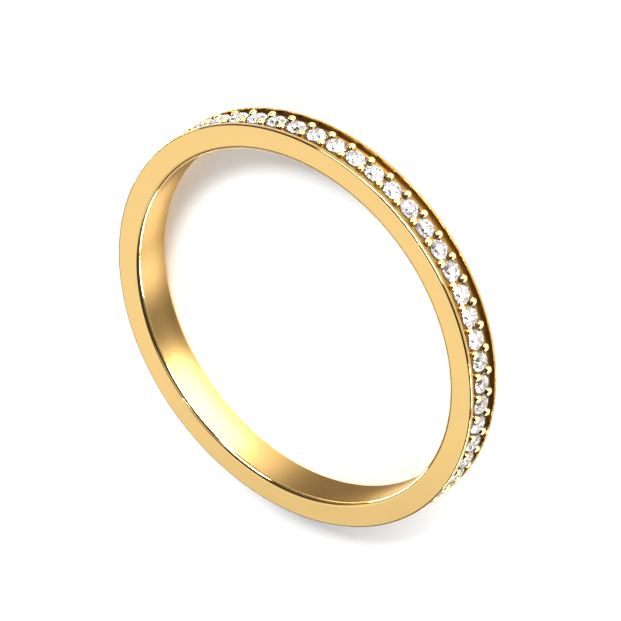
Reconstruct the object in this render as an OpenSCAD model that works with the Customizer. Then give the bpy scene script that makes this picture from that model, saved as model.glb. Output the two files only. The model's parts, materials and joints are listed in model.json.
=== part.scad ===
// Full eternity ring: a gold band with one row of round brilliants all the way round.
// Millimetres. The ring's axis is +Z and its lower side face lies on z = 0,
// so it rests on its side with the centre of the finger hole at the origin.

/* [Band] */
// Diameter of the finger hole
bore_d = 17.8; // [15:0.1:22]
// Width of the band along the finger
band_w = 2; // [1.8:0.05:2.6]
// Thickness of the band from the finger hole to the top of the rails
band_t = 1.25; // [1.15:0.05:2]
// Radius of the rounded edges of the finger hole
inner_round = 0.2; // [0.1:0.02:0.3]
// Radius of the rounded outer edges of the rails
outer_round = 0.08; // [0.04:0.01:0.12]

/* [Channel] */
// Thickness of each rail beside the channel
rail_t = 0.18; // [0.13:0.01:0.25]
// Depth of the channel floor, which holds the stones, below the rails
floor_depth = 0.21; // [0.16:0.01:0.26]
// Width of the bright-cut groove along each rail
groove_w = 0.13; // [0.08:0.01:0.15]
// Depth of that groove below the channel floor
groove_depth = 0.17; // [0.1:0.01:0.25]

/* [Stones] */
// Diameter of each brilliant at its girdle
stone_d = 1.01; // [0.8:0.01:1.1]
// Smallest gap between the girdles of neighbouring stones
stone_gap = 0.1; // [0.1:0.01:0.3]
// Height of the tables above the rails
table_rise = 0.02; // [0:0.01:0.06]
// Width of the table as a share of the stone's diameter
table_share = 0.57; // [0.53:0.01:0.62]
// Angle of the crown's main facets to the girdle
crown_angle = 34.5; // [32:0.5:36]
// Angle of the pavilion's main facets to the girdle
pavilion_angle = 41; // [39:0.5:42]
// Thickness of the girdle
girdle_t = 0.03; // [0.02:0.005:0.04]
// Clearance between each stone and its seat and beads
seat_clear = 0.02; // [0.01:0.005:0.03]

/* [Beads] */
// Diameter of the beads that hold the stones
bead_d = 0.42; // [0.34:0.01:0.44]
// Height of the bead tops above the rails
bead_rise = 0.08; // [0.02:0.01:0.12]
// Reach of a bead's head over the girdles of the stones beside it
bead_lip = 0.025; // [0.01:0.005:0.04]

/* [Hidden] */
$fn = 96;

bore_r = bore_d / 2;
rail_r = bore_r + band_t;
floor_r = rail_r - floor_depth;
channel_w = band_w - 2 * rail_t;
// How far a cut runs on past the face that it opens
past = 0.5;

// A brilliant repeats its facets this many times round its axis
fold = 8;
half_step = 180 / fold;
stone_r = stone_d / 2;
table_r = stone_r * table_share;
crown_h = (stone_r - table_r) * tan(crown_angle);
pavilion_h = stone_r * tan(pavilion_angle);
// Where the star and upper girdle facets meet, halfway in plan from the table's edge to the girdle
star_r = (table_r * cos(half_step) + stone_r) / 2;
star_h = (stone_r - star_r * cos(half_step)) * tan(crown_angle);
// Where the lower girdle facets end, three quarters of the way in plan to the culet
lower_r = stone_r / 4;
lower_h = (stone_r - lower_r * cos(half_step)) * tan(pavilion_angle);

// Radius of the ring at the upper and lower edges of the girdles, and the stones it takes
girdle_top_r = rail_r + table_rise - crown_h;
girdle_low_r = girdle_top_r - girdle_t;
stone_count = floor(180 / asin((stone_d + stone_gap) / (2 * girdle_low_r)));
pitch = 360 / stone_count;

// Each bead stands between two stones, as far from the middle of the band as its lip over both allows
bead_r = bead_d / 2;
bead_reach = stone_r + bead_r - bead_lip;
bead_z = sqrt(pow(bead_reach, 2) - pow(girdle_low_r * sin(pitch / 2), 2));
// The stem of a bead passes the girdles, and its wider head begins above the crowns' edges
stem_r = bead_reach - stone_r - seat_clear;
head_low_r = (girdle_top_r + bead_lip * star_h / (stone_r - star_r) + seat_clear) / cos(pitch / 2);
// Depth to which the beads are rooted in the metal below the channel floor
bead_root = 0.05;

// Puts children made along +Z at the origin onto the ring at an angle, pointing outward
module on_ring(angle, radius, z = band_w / 2)
    rotate(angle) translate([radius, 0, z]) rotate([0, 90, 0]) children();

// Cross-section of a plain band with rounded edges, from the finger hole at x = 0
module rounded_section() {
    translate([inner_round, 0])
        square([band_t - inner_round - outer_round, band_w]);
    translate([0, inner_round])
        square([inner_round, band_w - 2 * inner_round]);
    translate([band_t - outer_round, outer_round])
        square([outer_round, band_w - 2 * outer_round]);
    for (z = [inner_round, band_w - inner_round])
        translate([inner_round, z]) circle(inner_round);
    for (z = [outer_round, band_w - outer_round])
        translate([band_t - outer_round, z]) circle(outer_round);
}

// Cross-section of the channel between the rails, with a deeper groove along each rail
module channel_section() {
    translate([band_t - floor_depth, rail_t])
        square([floor_depth + past, channel_w]);
    for (z = [rail_t, band_w - rail_t - groove_w])
        translate([band_t - floor_depth - groove_depth, z])
            square([floor_depth + groove_depth + past, groove_w]);
}

// Band before its seats are cut
module channelled_band()
    rotate_extrude() translate([bore_r, 0]) difference() {
        rounded_section();
        channel_section();
    }

// One bead: a stem rooted in the channel floor, with a round head that reaches over the stones' edges
module bead() {
    head_z = rail_r + bead_rise - bead_r - (floor_r - bead_root);
    stem = head_low_r - (floor_r - bead_root);
    rotate_extrude() {
        square([stem_r, stem]);
        intersection() {
            translate([0, head_z]) circle(bead_r);
            translate([0, stem]) square(2 * bead_r);
        }
    }
}

// Space cut for one stone: a cone a clearance away from its pavilion, then straight up past its girdle.
// The origin is at the girdle's lower edge.
module seat() {
    seat_r = stone_r + seat_clear;
    rotate_extrude() polygon([
        [0, -seat_r * lower_h / (stone_r - lower_r)],
        [seat_r, 0],
        [seat_r, past],
        [0, past]
    ]);
}

// Points at equal steps round a circle at one height
function ring_points(r, z, count, start = 0) =
    [for (i = [0 : count - 1]) [r * cos(start + i * 360 / count), r * sin(start + i * 360 / count), z]];

// One round brilliant of 57 facets and a faceted girdle.
// The origin is at the lower edge of the girdle and the table faces +Z.
module brilliant() {
    girdle_count = 2 * fold;
    points = concat(
        ring_points(table_r, girdle_t + crown_h, fold),
        ring_points(star_r, girdle_t + star_h, fold, half_step),
        ring_points(stone_r, girdle_t, girdle_count),
        ring_points(stone_r, 0, girdle_count),
        ring_points(lower_r, -lower_h, fold, half_step),
        [[0, 0, -pavilion_h]]
    );
    star = fold;
    upper = star + fold;
    under = upper + girdle_count;
    lower = under + girdle_count;
    culet = lower + fold;
    function next(i) = (i + 1) % fold;
    function before(i) = (i + fold - 1) % fold;
    function around(i) = i % girdle_count;
    faces = concat(
        [[for (i = [fold - 1 : -1 : 0]) i]],
        [for (i = [0 : fold - 1]) [i, next(i), star + i]],
        [for (i = [0 : fold - 1]) [i, star + i, upper + 2 * i, star + before(i)]],
        [for (i = [0 : fold - 1]) [star + i, upper + 2 * i + 1, upper + 2 * i]],
        [for (i = [0 : fold - 1]) [star + i, upper + around(2 * i + 2), upper + 2 * i + 1]],
        [for (i = [0 : girdle_count - 1])
            [upper + i, upper + around(i + 1), under + around(i + 1), under + i]],
        [for (i = [0 : fold - 1]) [under + 2 * i, under + 2 * i + 1, lower + i]],
        [for (i = [0 : fold - 1]) [under + 2 * i + 1, under + around(2 * i + 2), lower + i]],
        [for (i = [0 : fold - 1]) [under + 2 * i, lower + i, culet, lower + before(i)]]
    );
    polyhedron(points = points, faces = faces);
}

module band()
    color("#e5b54f") {
        difference() {
            channelled_band();
            for (i = [0 : stone_count - 1])
                on_ring(i * pitch, girdle_low_r) seat();
        }
        for (i = [0 : stone_count - 1], side = [-1, 1])
            on_ring((i + 0.5) * pitch, floor_r - bead_root, band_w / 2 + side * bead_z) bead();
    }

module stones()
    color("#f4f7fb")
        for (i = [0 : stone_count - 1])
            on_ring(i * pitch, girdle_low_r) brilliant();

band();
stones();
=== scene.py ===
import json
import math

import bmesh
import bpy
import numpy as np
from mathutils import Matrix, Vector


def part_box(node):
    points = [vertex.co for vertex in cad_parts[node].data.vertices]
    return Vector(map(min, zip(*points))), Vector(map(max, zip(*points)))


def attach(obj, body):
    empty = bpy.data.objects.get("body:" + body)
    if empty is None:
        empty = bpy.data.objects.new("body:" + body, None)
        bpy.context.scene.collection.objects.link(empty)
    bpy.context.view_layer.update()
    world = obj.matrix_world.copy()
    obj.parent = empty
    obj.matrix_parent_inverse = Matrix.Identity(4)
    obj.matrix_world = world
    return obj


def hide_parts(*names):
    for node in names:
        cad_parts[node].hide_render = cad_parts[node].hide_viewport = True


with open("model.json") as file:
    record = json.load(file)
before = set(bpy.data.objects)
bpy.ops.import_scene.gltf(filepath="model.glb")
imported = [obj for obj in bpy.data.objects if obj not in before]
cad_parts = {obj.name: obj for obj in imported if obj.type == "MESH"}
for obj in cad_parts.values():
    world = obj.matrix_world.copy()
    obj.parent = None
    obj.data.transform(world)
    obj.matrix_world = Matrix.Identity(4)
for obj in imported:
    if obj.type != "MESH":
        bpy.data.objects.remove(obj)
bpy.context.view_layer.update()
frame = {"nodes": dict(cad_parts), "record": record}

# Everything is worked out in millimetres and made in metres
MM = 0.001
MOUNTS = {mount["name"]: mount for mount in frame["record"]["mounts"]}

# Band, as in the solid that its looks replace: driving sizes, then what follows from them
BORE_R = MOUNTS["finger_bore"]["dims"]["r_mm"]
BAND_W = (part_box("band")[1].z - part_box("band")[0].z) / MM
BAND_T = 1.25
INNER_ROUND = 0.2
OUTER_ROUND = 0.08
RAIL_T = 0.18
FLOOR_DEPTH = 0.21
GROOVE_W = 0.13
GROOVE_DEPTH = 0.17
MID = BAND_W / 2
RAIL_R = BORE_R + BAND_T
FLOOR_R = RAIL_R - FLOOR_DEPTH
GROOVE_R = FLOOR_R - GROOVE_DEPTH
CHANNEL_HALF = MID - RAIL_T
FLOOR_HALF = CHANNEL_HALF - GROOVE_W

# Stones and their seats
STONES = 56
STONE_R = 0.505
TABLE_SHARE = 0.57
CROWN_ANGLE = math.radians(34.5)
PAVILION_ANGLE = math.radians(41)
GIRDLE_T = 0.03
TABLE_RISE = 0.02
SEAT_CLEAR = 0.02
PITCH = math.tau / STONES
TABLE_R = STONE_R * TABLE_SHARE
# Half of the angle between two main facets of a brilliant
HALF_STEP = math.pi / 8
STAR_R = (TABLE_R * math.cos(HALF_STEP) + STONE_R) / 2
STAR_H = (STONE_R - STAR_R * math.cos(HALF_STEP)) * math.tan(CROWN_ANGLE)
LOWER_R = STONE_R / 4
LOWER_H = (STONE_R - LOWER_R * math.cos(HALF_STEP)) * math.tan(PAVILION_ANGLE)
GIRDLE_LOW_R = RAIL_R + TABLE_RISE - (STONE_R - TABLE_R) * math.tan(CROWN_ANGLE) - GIRDLE_T
SEAT_R = STONE_R + SEAT_CLEAR
SEAT_SLOPE = LOWER_H / (STONE_R - LOWER_R)

# Beads
BEAD_R = 0.21
BEAD_RISE = 0.08
BEAD_ROOT = 0.05
BEAD_LIP = 0.025
BEAD_TOP_R = RAIL_R + BEAD_RISE
BEAD_ROOT_R = FLOOR_R - BEAD_ROOT
BEAD_REACH = STONE_R + BEAD_R - BEAD_LIP
BEAD_Z = math.sqrt(BEAD_REACH ** 2 - (GIRDLE_LOW_R * math.sin(PITCH / 2)) ** 2)
STEM_R = BEAD_R - BEAD_LIP - SEAT_CLEAR
CROWN_EDGE = BEAD_LIP * STAR_H / (STONE_R - STAR_R)
HEAD_LOW_R = (GIRDLE_LOW_R + GIRDLE_T + CROWN_EDGE + SEAT_CLEAR) / math.cos(PITCH / 2)

# Fineness of the meshes
CELL_STEPS = 8
ROUND_STEPS = 12
BREAK_STEPS = 3
BEAD_SIDES = 24
DOME_RINGS = 8
# Rings of a seat's cone, as shares of its mouth, and the rounds of sums that find that mouth
SEAT_RINGS = (1, 0.6, 0.2)
SEAT_ROUNDS = 12
# Strip beside a rounded edge that keeps the flat face next to it flat
SUPPORT = 0.015
# Rounding of the rails' inner edges, which are sharp in the solid
EDGE_BREAK = 0.006
# Distance at which points become one, tolerance of a face's place, and angle from which an edge is sharp
MERGE = 0.0002
SLIVER = 0.001
SHARP = math.radians(32)

# Material slots of the band, and how far the inner wall's finish reaches up its rounded edges
SIDES, INNER_WALL, BEADED_FLOOR, GROOVES, RAIL_TOPS = range(5)
WALL_REACH = 0.01

# Gold: colour between deep and pale, and roughness
GOLD_DEEP = (0.95, 0.64, 0.24)
GOLD_PALE = (0.962, 0.66, 0.26)
# Darker copy of the gold on the rail tops and their outer rounding: painted shade
RAIL_PAINTED_SHADE_DEEP = (0.36, 0.24, 0.09)
RAIL_PAINTED_SHADE_PALE = (0.38, 0.255, 0.1)
# Darker copy of the gold on the inner wall: painted shade
WALL_PAINTED_SHADE_DEEP = (0.42, 0.275, 0.1)
WALL_PAINTED_SHADE_PALE = (0.44, 0.29, 0.11)
POLISHED = (0.05, 0.1)
TURNED = (0.58, 0.62)
CUT_AT_FLOOR = 0.35
CUT_AT_RAILS = 0.1

# Painted shade down in the channel: on its floor, the seats and the lower parts of the beads, and on the
# grooves' walls; and the radii between which it gives way to bright gold
FLOOR_SHADE = (0.2, 0.12, 0.03)
FLOOR_FADE = (RAIL_R - 0.08, RAIL_R + 0.02)
# Painted shade on the walls of the grooves beside the rails
GROOVE_SHADE = (0.26, 0.155, 0.055)
GROOVE_FADE = (FLOOR_R + 0.1, RAIL_R)

# Diamond and paper
DIAMOND_IOR = 2.42
TINT_GREY = (0.72, 0.72, 0.77)
TINT_PALE = (0.8, 0.79, 0.8)
PAPER_DIM = (0.88, 0.88, 0.885)
PAPER_BRIGHT = (0.9, 0.9, 0.9)
PAPER_HALF = 700

# Clouds of noise: cycles per metre, and the levels between which they change a gloss
PAPER_GRAIN = 3000
CUT_GRAIN = 1500
POLISH_GRAIN = 700
TURNING_GRAIN = 300
TURNING_STRETCH = (1, 1, 60)
TURNING_DETAIL = 6
CLOUD_LOW, CLOUD_HIGH = 0.3, 0.7

# Studio, by directions from the ring: brightness, and where each part fades in. A fade is a pair of
# lengths of the direction's unit vector along an axis: away from the camera, up, or across the slant.
STUDIO_WALLS = 0.22
STUDIO_CEILING = 0.05
PANEL_BRIGHT = 1
PANEL_SHADE = 0.8
CEILING_FADE = (0.55, 0.7)
OVERHEAD_FADE = (0.965, 0.98)
PANEL_BACK_FADE = (0.42, 0.5)
PANEL_FOOT_FADE = (0.5, 0.56)
PANEL_HEAD_FADE = (0.78, 0.84)
PANEL_SLANT = (-0.8, 0, 1)
PANEL_SLANT_FADE = (0.64, 0.668)

# Soft boxes: azimuth and elevation of the middle, width and height in degrees, brightness beside the paper's
SOFT_BOXES = {
    "key": (140, 42, 26, 16, 27),
    "front": (90, 14, 34, 8, 12),
    "front_low": (96, 5.5, 57, 5, 320),
    "right": (18, 7, 20, 6, 80),
    "right_low": (-16, 7, 36, 6, 48),
    "left": (225, 7, 30, 6, 32),
}
BOX_DISTANCE = 300

# Narrow lamp that hangs over the hole and lights the paper inside the ring
TOP_HEIGHT = 300
TOP_REACH = 9.5
TOP_AIM = (0.2, 0.7)
TOP_WATTS = 0.95
TOP_BLEND = 0.2
TOP_RADIUS = 2

# Camera, from the outlines of the ring in the 621 x 621 photograph
PHOTO_PX = 621
FOCAL_PX = 5249
SENSOR_MM = 36
VIEW_AZIMUTH = 88.53
VIEW_DOWN = 42.19
VIEW_ROLL = math.radians(124.78)
VIEW_DISTANCE = 239.7
# Where the middle of the ring lies beside the middle of the picture
CENTRE_RIGHT = -0.286
CENTRE_DOWN = 0.399

# Bounces of light: a ray crosses many facets before it leaves a stone
ALL_BOUNCES = 24
GLOSS_BOUNCES = 12
CLEAR_BOUNCES = 16


def ring_point(angle, radius, z):
    """Point at an angle round the ring's axis."""
    return Vector((radius * math.cos(angle), radius * math.sin(angle), z))


def direction(azimuth, elevation):
    """Unit vector from the ring towards an azimuth and elevation in degrees."""
    azimuth, elevation = math.radians(azimuth), math.radians(elevation)
    return Vector((math.cos(elevation) * math.cos(azimuth), math.cos(elevation) * math.sin(azimuth),
                   math.sin(elevation)))


def arc(centre, radius, start, end, steps):
    """Points of an arc in the plane of the band's cross-section, both ends included."""
    angles = np.linspace(start, end, steps + 1)
    return [(centre[0] + radius * math.cos(a), centre[1] + radius * math.sin(a)) for a in angles]


def half_section():
    """Cross-section of the upper half of the band, from the channel floor to the middle of the bore."""
    top = BAND_W
    quarter = math.pi / 2
    groove_in = MID + FLOOR_HALF
    groove_out = MID + CHANNEL_HALF
    section = [
        (FLOOR_R, groove_in),
        (GROOVE_R, groove_in),
        (GROOVE_R, groove_out),
        (FLOOR_R, groove_out),
        (RAIL_R - EDGE_BREAK, groove_out),
    ]
    section += arc((RAIL_R - EDGE_BREAK, groove_out + EDGE_BREAK), EDGE_BREAK, -quarter, 0, BREAK_STEPS)[1:]
    section += [(RAIL_R, top - OUTER_ROUND - SUPPORT)]
    section += arc((RAIL_R - OUTER_ROUND, top - OUTER_ROUND), OUTER_ROUND, 0, quarter, ROUND_STEPS)
    section += [(RAIL_R - OUTER_ROUND - SUPPORT, top), (BORE_R + INNER_ROUND + SUPPORT, top)]
    section += arc((BORE_R + INNER_ROUND, top - INNER_ROUND), INNER_ROUND, quarter, 2 * quarter, ROUND_STEPS)
    section += [(BORE_R, top - INNER_ROUND - SUPPORT), (BORE_R, MID)]
    return section


def add_hoop(bm):
    """The band without its channel floor: one cross-section turned round the axis."""
    upper = half_section()
    section = upper + [(r, BAND_W - z) for r, z in reversed(upper[:-1])]
    turns = STONES * CELL_STEPS
    rows = []
    for i in range(turns):
        angle = (i / CELL_STEPS - 0.5) * PITCH
        rows.append([bm.verts.new(ring_point(angle, r, z) * MM) for r, z in section])
    for i in range(turns):
        here, after = rows[i], rows[(i + 1) % turns]
        for j in range(len(section) - 1):
            bm.faces.new((here[j], after[j], after[j + 1], here[j + 1]))


def seat_mouth(phi):
    """Radius at which a seat's cone meets the channel floor, in the direction phi round the stone."""
    rho = SEAT_R
    for _ in range(SEAT_ROUNDS):
        out = math.sqrt(FLOOR_R ** 2 - (rho * math.cos(phi)) ** 2)
        rho = SEAT_R + (out - GIRDLE_LOW_R) / SEAT_SLOPE
    return rho


def cell_outline():
    """Steps round the outline of one stone's stretch of floor, as shares of its half sizes."""
    run = [-1 + 2 * i / CELL_STEPS for i in range(CELL_STEPS)]
    return [(1, s) for s in run] + [(-s, 1) for s in run] + [(-1, -s) for s in run] + [(s, -1) for s in run]


def add_floor(bm):
    """The channel floor with a conical seat under each stone."""
    outline = cell_outline()
    half_arc = FLOOR_R * PITCH / 2
    for i in range(STONES):
        turn = Matrix.Rotation(i * PITCH, 3, "Z")
        rings = [[] for _ in range(1 + len(SEAT_RINGS))]
        for across, along in outline:
            edge = ring_point(across * PITCH / 2, FLOOR_R, MID + along * FLOOR_HALF)
            phi = math.atan2(along * FLOOR_HALF, across * half_arc)
            rho = seat_mouth(phi)
            points = [edge]
            for share in SEAT_RINGS:
                reach = rho * share
                height = GIRDLE_LOW_R - (SEAT_R - reach) * SEAT_SLOPE
                points.append(Vector((height, reach * math.cos(phi), MID + reach * math.sin(phi))))
            for ring, point in zip(rings, points):
                ring.append(bm.verts.new(turn @ point * MM))
        count = len(outline)
        for outer, inner in zip(rings, rings[1:]):
            for k in range(count):
                after = (k + 1) % count
                bm.faces.new((outer[k], outer[after], inner[after], inner[k]))
        tip = bm.verts.new(turn @ Vector((GIRDLE_LOW_R - SEAT_R * SEAT_SLOPE, 0, MID)) * MM)
        for k in range(count):
            bm.faces.new((rings[-1][k], rings[-1][(k + 1) % count], tip))


def add_beads(bm):
    """Two beads in each gap between stones: a stem rooted in the floor under a wider round head."""
    dome_r = BEAD_TOP_R - BEAD_R
    start = math.asin((HEAD_LOW_R - dome_r) / BEAD_R)
    outline = [(STEM_R, BEAD_ROOT_R), (STEM_R, HEAD_LOW_R)]
    outline += [(BEAD_R * math.cos(a), dome_r + BEAD_R * math.sin(a))
                for a in np.linspace(start, math.pi / 2, DOME_RINGS + 1)[:-1]]
    for i in range(STONES):
        angle = (i + 0.5) * PITCH
        outward, sideways = ring_point(angle, 1, 0), ring_point(angle + math.pi / 2, 1, 0)
        for side in (-1, 1):
            base = Vector((0, 0, MID + side * BEAD_Z))
            rings = []
            for radius, out in outline:
                ring = []
                for k in range(BEAD_SIDES):
                    a = math.tau * k / BEAD_SIDES
                    point = base + outward * out + sideways * radius * math.cos(a)
                    point.z += radius * math.sin(a)
                    ring.append(bm.verts.new(point * MM))
                rings.append(ring)
            foot = bm.verts.new((base + outward * BEAD_ROOT_R) * MM)
            top = bm.verts.new((base + outward * BEAD_TOP_R) * MM)
            for k in range(BEAD_SIDES):
                after = (k + 1) % BEAD_SIDES
                bm.faces.new((foot, rings[0][after], rings[0][k]))
                bm.faces.new((top, rings[-1][k], rings[-1][after]))
                for lower, upper in zip(rings, rings[1:]):
                    bm.faces.new((lower[k], lower[after], upper[after], upper[k]))


def make_mesh(name, builders):
    """One object from functions that add to the same mesh, with flat faces kept flat at their edges."""
    bm = bmesh.new()
    for build in builders:
        build(bm)
    bmesh.ops.remove_doubles(bm, verts=bm.verts, dist=MERGE * MM)
    bmesh.ops.recalc_face_normals(bm, faces=bm.faces)
    for face in bm.faces:
        face.material_index = finish_of(face)
    mesh = bpy.data.meshes.new(name)
    bm.to_mesh(mesh)
    bm.free()
    mesh.shade_smooth()
    mesh.set_sharp_from_angle(angle=SHARP)
    piece = bpy.data.objects.new(name, mesh)
    bpy.context.collection.objects.link(piece)
    return piece


def finish_of(face):
    """Material slot of a face, from where its middle lies."""
    middle = face.calc_center_median() / MM
    radius = math.hypot(middle.x, middle.y)
    aside = abs(middle.z - MID)
    # Faces in the channel take gold with painted shade in its depth
    if radius > BORE_R + INNER_ROUND and aside < CHANNEL_HALF + SLIVER:
        return BEADED_FLOOR if aside < FLOOR_HALF - SLIVER else GROOVES
    # The inner wall takes a darker copy of the gold, painted shade
    if radius < BORE_R + WALL_REACH:
        return INNER_WALL
    # The rail tops and their outer rounding take the darker gold of painted shade
    return RAIL_TOPS if radius > RAIL_R - OUTER_ROUND else SIDES


def new_material(name):
    """A material with its node tree and its shader."""
    material = bpy.data.materials.new(name)
    material.use_nodes = True
    tree = material.node_tree
    return material, tree, tree.nodes["Principled BSDF"]


def ramp(tree, value, low, high, to_low=0, to_high=1):
    """Smooth step of a node's value between two levels."""
    step = tree.nodes.new("ShaderNodeMapRange")
    step.interpolation_type = "SMOOTHSTEP"
    for socket, number in zip(step.inputs[1:5], (low, high, to_low, to_high)):
        socket.default_value = number
    tree.links.new(value, step.inputs["Value"])
    return step.outputs["Result"]


def mix(tree, factor, first, second):
    """Mix of two colours, each a colour or a node's output."""
    blend = tree.nodes.new("ShaderNodeMixRGB")
    tree.links.new(factor, blend.inputs["Fac"])
    for socket, colour in zip(("Color1", "Color2"), (first, second)):
        if isinstance(colour, tuple):
            blend.inputs[socket].default_value = colour + (1,)
        else:
            tree.links.new(colour, blend.inputs[socket])
    return blend.outputs["Color"]


def cloud(tree, scale, detail=4, stretch=(1, 1, 1)):
    """Noise in the object's own coordinates, in cycles per metre."""
    place = tree.nodes.new("ShaderNodeTexCoord")
    mapping = tree.nodes.new("ShaderNodeMapping")
    mapping.inputs["Scale"].default_value = stretch
    noise = tree.nodes.new("ShaderNodeTexNoise")
    noise.inputs["Scale"].default_value = scale
    noise.inputs["Detail"].default_value = detail
    tree.links.new(place.outputs["Object"], mapping.inputs["Vector"])
    tree.links.new(mapping.outputs["Vector"], noise.inputs["Vector"])
    return noise.outputs["Fac"]


def smooth_gold(name, deep, pale):
    """Polished yellow gold: nearly a mirror, with uneven gloss."""
    material, tree, shader = new_material(name)
    shader.inputs["Metallic"].default_value = 1
    patches = cloud(tree, POLISH_GRAIN)
    tree.links.new(mix(tree, patches, deep, pale), shader.inputs["Base Color"])
    gloss = ramp(tree, patches, CLOUD_LOW, CLOUD_HIGH, *POLISHED)
    tree.links.new(gloss, shader.inputs["Roughness"])
    return material


def inner_gold():
    """The wall of the finger hole: polished along its turning lines, so its gloss spreads across them. Its
    colour is a darker copy of the gold: painted shade.
    """
    material, tree, shader = new_material("turned_gold_painted_shade")
    shader.inputs["Metallic"].default_value = 1
    shader.inputs["Anisotropic"].default_value = 1
    shader.inputs["Anisotropic Rotation"].default_value = 0.25
    lines = cloud(tree, TURNING_GRAIN, TURNING_DETAIL, TURNING_STRETCH)
    tree.links.new(mix(tree, lines, WALL_PAINTED_SHADE_DEEP, WALL_PAINTED_SHADE_PALE), shader.inputs["Base Color"])
    tree.links.new(ramp(tree, lines, CLOUD_LOW, CLOUD_HIGH, *TURNED), shader.inputs["Roughness"])
    return material


def setting_gold(name, shade, fade):
    """Cut gold between the rails, with painted shade up to the first radius of its fade and bright gold from
    the second.
    """
    material, tree, shader = new_material(name)
    shader.inputs["Metallic"].default_value = 1
    place = tree.nodes.new("ShaderNodeTexCoord")
    flat = tree.nodes.new("ShaderNodeVectorMath")
    flat.operation = "MULTIPLY"
    flat.inputs[1].default_value = (1, 1, 0)
    tree.links.new(place.outputs["Object"], flat.inputs[0])
    radius = tree.nodes.new("ShaderNodeVectorMath")
    radius.operation = "LENGTH"
    tree.links.new(flat.outputs["Vector"], radius.inputs[0])
    rise = ramp(tree, radius.outputs["Value"], fade[0] * MM, fade[1] * MM)
    bright = mix(tree, cloud(tree, CUT_GRAIN), GOLD_DEEP, GOLD_PALE)
    tree.links.new(mix(tree, rise, shade, bright), shader.inputs["Base Color"])
    gloss = ramp(tree, radius.outputs["Value"], FLOOR_R * MM, RAIL_R * MM, CUT_AT_FLOOR, CUT_AT_RAILS)
    tree.links.new(gloss, shader.inputs["Roughness"])
    return material


def brilliant_material():
    """Clear diamond with a faint tint of its own in each stone."""
    material, tree, shader = new_material("brilliant")
    shader.inputs["Roughness"].default_value = 0
    shader.inputs["IOR"].default_value = DIAMOND_IOR
    shader.inputs["Transmission Weight"].default_value = 1
    island = tree.nodes.new("ShaderNodeNewGeometry")
    tint = mix(tree, island.outputs["Random Per Island"], TINT_GREY, TINT_PALE)
    tree.links.new(tint, shader.inputs["Base Color"])
    return material


def floor_material():
    """White paper with a very fine grain."""
    material, tree, shader = new_material("white_paper")
    shader.inputs["Roughness"].default_value = 0.9
    shader.inputs["Specular IOR Level"].default_value = 0.1
    grain = mix(tree, cloud(tree, PAPER_GRAIN), PAPER_DIM, PAPER_BRIGHT)
    tree.links.new(grain, shader.inputs["Base Color"])
    return material


def make_floor():
    """The sheet of paper that the ring lies on."""
    bm = bmesh.new()
    bmesh.ops.create_grid(bm, x_segments=8, y_segments=8, size=PAPER_HALF * MM)
    mesh = bpy.data.meshes.new("floor")
    bm.to_mesh(mesh)
    bm.free()
    floor = bpy.data.objects.new("floor", mesh)
    bpy.context.collection.objects.link(floor)
    floor.data.materials.append(floor_material())


def product(tree, *factors):
    """Product of node outputs."""
    result = factors[0]
    for factor in factors[1:]:
        times = tree.nodes.new("ShaderNodeMath")
        times.operation = "MULTIPLY"
        tree.links.new(result, times.inputs[0])
        tree.links.new(factor, times.inputs[1])
        result = times.outputs["Value"]
    return result


def along(tree, place, axis):
    """How far a direction of the world points along an axis."""
    dot = tree.nodes.new("ShaderNodeVectorMath")
    dot.operation = "DOT_PRODUCT"
    dot.inputs[1].default_value = axis
    tree.links.new(place, dot.inputs[0])
    return dot.outputs["Value"]


def make_world():
    """A dim studio with a dark ceiling, a small panel overhead and a large one that the flat side mirrors."""
    world = bpy.data.worlds.new("studio")
    bpy.context.scene.world = world
    world.use_nodes = True
    tree = world.node_tree
    background = tree.nodes["Background"]
    place = tree.nodes.new("ShaderNodeTexCoord").outputs["Generated"]
    height = along(tree, place, (0, 0, 1))
    back = along(tree, place, direction(-90, 0))
    room = mix(tree, ramp(tree, height, *CEILING_FADE), (STUDIO_WALLS,) * 3, (STUDIO_CEILING,) * 3)
    room = mix(tree, ramp(tree, height, *OVERHEAD_FADE), room, (PANEL_SHADE,) * 3)
    slant = ramp(tree, along(tree, place, PANEL_SLANT), *PANEL_SLANT_FADE)
    panel = mix(tree, slant, (PANEL_SHADE,) * 3, (PANEL_BRIGHT,) * 3)
    inside = product(tree, ramp(tree, back, *PANEL_BACK_FADE), ramp(tree, height, *PANEL_FOOT_FADE),
                     ramp(tree, height, *PANEL_HEAD_FADE, 1, 0))
    tree.links.new(mix(tree, inside, room, panel), background.inputs["Color"])


def add_light(lamp, aim, towards, distance):
    """Hangs a lamp in a direction from a point of the paper, facing that point."""
    light = bpy.data.objects.new(lamp.name, lamp)
    light.location = (Vector((*aim, 0)) + towards * distance) * MM
    light.rotation_mode = "QUATERNION"
    light.rotation_quaternion = (-towards).to_track_quat("-Z", "Y")
    bpy.context.collection.objects.link(light)


def make_soft_boxes():
    """Soft boxes at the same distance all round the ring."""
    for name, (azimuth, elevation, width, height, brightness) in SOFT_BOXES.items():
        box = bpy.data.lights.new(name, "AREA")
        box.shape = "RECTANGLE"
        box.size = 2 * BOX_DISTANCE * MM * math.tan(math.radians(width / 2))
        box.size_y = 2 * BOX_DISTANCE * MM * math.tan(math.radians(height / 2))
        box.energy = brightness * math.pi * box.size * box.size_y
        add_light(box, (0, 0), direction(azimuth, elevation), BOX_DISTANCE)


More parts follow.
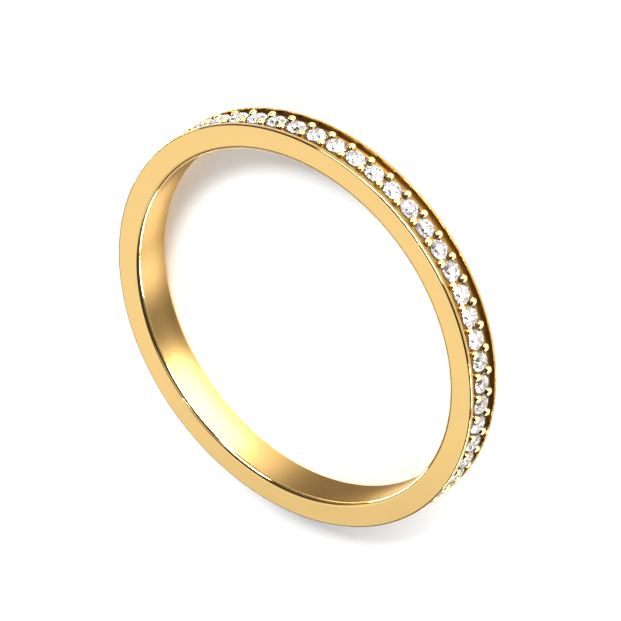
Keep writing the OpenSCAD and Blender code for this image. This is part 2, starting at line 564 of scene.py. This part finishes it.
def make_top_lamp():
    """The narrow lamp for the paper inside the ring."""
    lamp = bpy.data.lights.new("top_lamp", "SPOT")
    lamp.energy = TOP_WATTS
    lamp.spot_size = 2 * math.atan(TOP_REACH / TOP_HEIGHT)
    lamp.spot_blend = TOP_BLEND
    lamp.shadow_soft_size = TOP_RADIUS * MM
    add_light(lamp, TOP_AIM, direction(0, 90), TOP_HEIGHT)


def make_camera():
    """The photograph's camera."""
    forward = -direction(VIEW_AZIMUTH, VIEW_DOWN)
    level_right = forward.cross(Vector((0, 0, 1))).normalized()
    level_up = level_right.cross(forward)
    up = level_up * math.cos(VIEW_ROLL) + level_right * math.sin(VIEW_ROLL)
    right = forward.cross(up)
    data = bpy.data.cameras.new("camera")
    data.sensor_width = SENSOR_MM
    data.lens = FOCAL_PX / PHOTO_PX * SENSOR_MM
    data.clip_start = 0.01
    data.clip_end = 5
    camera = bpy.data.objects.new("camera", data)
    place = Vector((0, 0, MID)) - forward * VIEW_DISTANCE - right * CENTRE_RIGHT + up * CENTRE_DOWN
    turn = Matrix((right, up, -forward)).transposed()
    camera.matrix_world = Matrix.Translation(place * MM) @ turn.to_4x4()
    bpy.context.collection.objects.link(camera)
    bpy.context.scene.camera = camera


def make_band():
    """The gold band with its finishes, in place of its solid."""
    band = make_mesh("gold_band", (add_hoop, add_floor, add_beads))
    finishes = {
        SIDES: smooth_gold("polished_gold", GOLD_DEEP, GOLD_PALE),
        INNER_WALL: inner_gold(),
        BEADED_FLOOR: setting_gold("beaded_gold_painted_shade", FLOOR_SHADE, FLOOR_FADE),
        GROOVES: setting_gold("grooved_gold_painted_shade", GROOVE_SHADE, GROOVE_FADE),
        # Rail tops and outer rounding: darker copy of the gold, painted shade
        RAIL_TOPS: smooth_gold("rail_gold_painted_shade", RAIL_PAINTED_SHADE_DEEP, RAIL_PAINTED_SHADE_PALE),
    }
    for slot in sorted(finishes):
        band.data.materials.append(finishes[slot])
    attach(band, "root")
    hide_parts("band")


def dress_stones():
    """Gives the solids of the stones their material."""
    stones = frame["nodes"]["stones"]
    stones.data.materials.clear()
    stones.data.materials.append(brilliant_material())


make_camera()
make_world()
make_soft_boxes()
make_top_lamp()
make_floor()
make_band()
dress_stones()

scene = bpy.context.scene
scene.view_settings.view_transform = "Standard"
scene.cycles.max_bounces = ALL_BOUNCES
scene.cycles.glossy_bounces = GLOSS_BOUNCES
scene.cycles.transmission_bounces = CLEAR_BOUNCES
